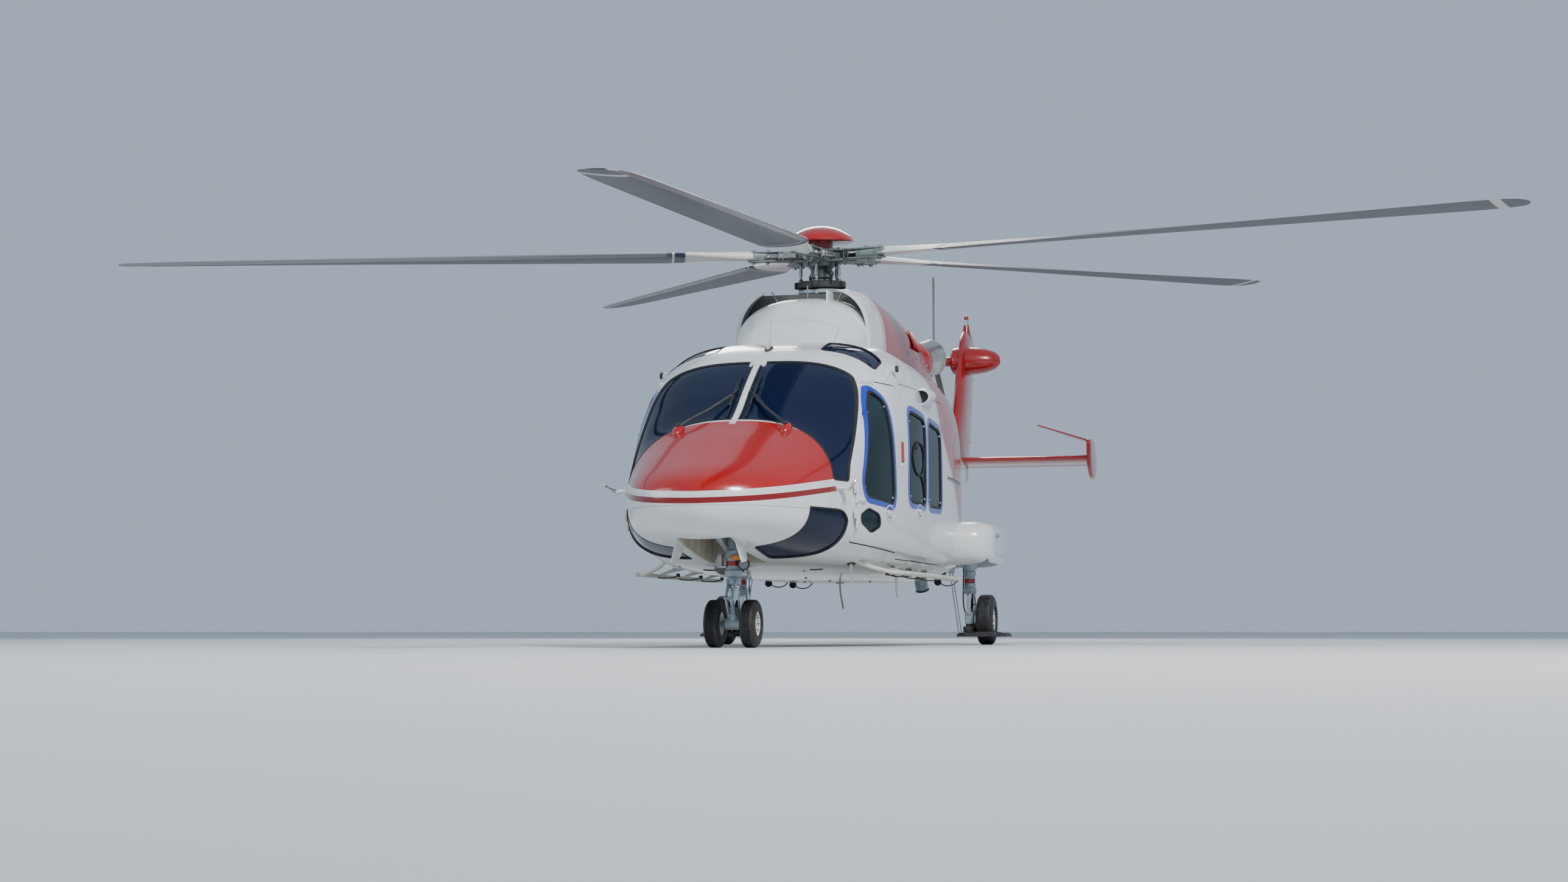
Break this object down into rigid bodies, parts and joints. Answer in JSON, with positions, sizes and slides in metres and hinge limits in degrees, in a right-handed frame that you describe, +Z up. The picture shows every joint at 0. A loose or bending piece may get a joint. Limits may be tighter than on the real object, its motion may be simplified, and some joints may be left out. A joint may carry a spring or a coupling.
{
  "type": "twin-engined ambulance helicopter",
  "caption": "Medium helicopter parked on retractable wheeled gear, with a faired main rotor head, a side tail rotor, hinged cockpit doors and a stabiliser with end plates.",
  "frame": {"origin": "on the floor under the middle of the whole outline, on the helicopter's centreline", "axes": "-Y towards the nose, +X to the helicopter's own left, +Z up"},
  "size_m": [11.573, 14.6112, 4.45],
  "materials": {
    "white_paint": "gloss",
    "red_paint": "gloss",
    "window_glass": "gloss",
    "gear_metal": "satin",
    "engine_steel": "satin",
    "exhaust_steel": "satin",
    "step_alloy": "satin",
    "dark_composite": "matte",
    "blade_grey": "satin",
    "tyre_rubber": "matte",
    "seat_cloth": "woven"
  },
  "bodies": {
    "airframe": {"cabin_shell": "white_paint", "tail_boom": "white_paint", "engine_cowling": "white_paint", "nose_gear_bay": "white_paint", "cabin_door_left": "white_paint", "cabin_door_right": "white_paint", "sponson_left": "white_paint", "sponson_right": "white_paint", "nose_cap": "red_paint", "rear_fuselage": "red_paint", "tail_gearbox": "red_paint", "fin": "red_paint", "stabiliser_left": "red_paint", "stabiliser_right": "red_paint", "windshield_left": "window_glass", "windshield_right": "window_glass", "chin_window_left": "window_glass", "chin_window_right": "window_glass", "roof_window_left": "window_glass", "roof_window_right": "window_glass", "cabin_window_front_left": "window_glass", "cabin_window_front_right": "window_glass", "cabin_window_rear_left": "window_glass", "cabin_window_rear_right": "window_glass", "powerplant": "engine_steel", "nose_leg": "gear_metal", "main_leg_left": "gear_metal", "main_leg_right": "gear_metal", "exhaust_left": "exhaust_steel", "exhaust_right": "exhaust_steel", "step_left": "step_alloy", "step_right": "step_alloy", "cabin_floor": "dark_composite", "instrument_panel": "dark_composite", "snow_pad_left": "dark_composite", "snow_pad_right": "dark_composite", "crew_seat_left": "seat_cloth", "crew_seat_right": "seat_cloth"},
    "main_rotor": {"rotor_head": "gear_metal", "rotor_cap": "red_paint", "control_ring": "dark_composite", "main_blade_1": "blade_grey", "main_blade_2": "blade_grey", "main_blade_3": "blade_grey", "main_blade_4": "blade_grey", "main_blade_5": "blade_grey"},
    "tail_rotor_disc": {"tail_rotor": "blade_grey"},
    "nose_steering": {"nose_fork": "gear_metal"},
    "nose_wheel_pair": {"nose_wheels": "tyre_rubber"},
    "main_wheel_left_body": {"main_wheel_left": "tyre_rubber"},
    "main_wheel_right_body": {"main_wheel_right": "tyre_rubber"},
    "cockpit_door_left_body": {"cockpit_door_left": "white_paint", "cockpit_door_window_left": "window_glass"},
    "cockpit_door_right_body": {"cockpit_door_right": "white_paint", "cockpit_door_window_right": "window_glass"},
    "baggage_door_left_body": {"baggage_door_left": "red_paint"},
    "baggage_door_right_body": {"baggage_door_right": "red_paint"}
  },
  "joints": [
    {"name": "main_rotor_spin", "type": "hinge", "parent": "airframe", "child": "main_rotor", "pos_m": [0, -1.24, 3.41], "axis": [0, -0.0785, 0.9969], "continuous": true},
    {"name": "tail_rotor_spin", "type": "hinge", "parent": "airframe", "child": "tail_rotor_disc", "pos_m": [-0.36, 6.39, 3.4], "axis": [1, 0, 0], "continuous": true},
    {"name": "nose_steer", "type": "hinge", "parent": "airframe", "child": "nose_steering", "pos_m": [0, -4.11, 0.4], "axis": [0, 0, 1], "range_deg": [-60, 60]},
    {"name": "nose_wheels_spin", "type": "hinge", "parent": "nose_steering", "child": "nose_wheel_pair", "pos_m": [0, -4.11, 0.178], "axis": [1, 0, 0], "continuous": true},
    {"name": "main_wheel_left_spin", "type": "hinge", "parent": "airframe", "child": "main_wheel_left_body", "pos_m": [1.24, 0.1, 0.228], "axis": [1, 0, 0], "continuous": true},
    {"name": "main_wheel_right_spin", "type": "hinge", "parent": "airframe", "child": "main_wheel_right_body", "pos_m": [-1.24, 0.1, 0.228], "axis": [1, 0, 0], "continuous": true},
    {"name": "cockpit_door_left_hinge", "type": "hinge", "parent": "airframe", "child": "cockpit_door_left_body", "pos_m": [0.895, -3.91, 1.1], "axis": [0, 0, -1], "range_deg": [0, 80]},
    {"name": "cockpit_door_right_hinge", "type": "hinge", "parent": "airframe", "child": "cockpit_door_right_body", "pos_m": [-0.895, -3.91, 1.1], "axis": [0, 0, 1], "range_deg": [0, 80]},
    {"name": "baggage_door_left_hinge", "type": "hinge", "parent": "airframe", "child": "baggage_door_left_body", "pos_m": [0.91, 0.54, 1.5], "axis": [0, 0, -1], "range_deg": [0, 100]},
    {"name": "baggage_door_right_hinge", "type": "hinge", "parent": "airframe", "child": "baggage_door_right_body", "pos_m": [-0.91, 0.54, 1.5], "axis": [0, 0, 1], "range_deg": [0, 100]}
  ]
}
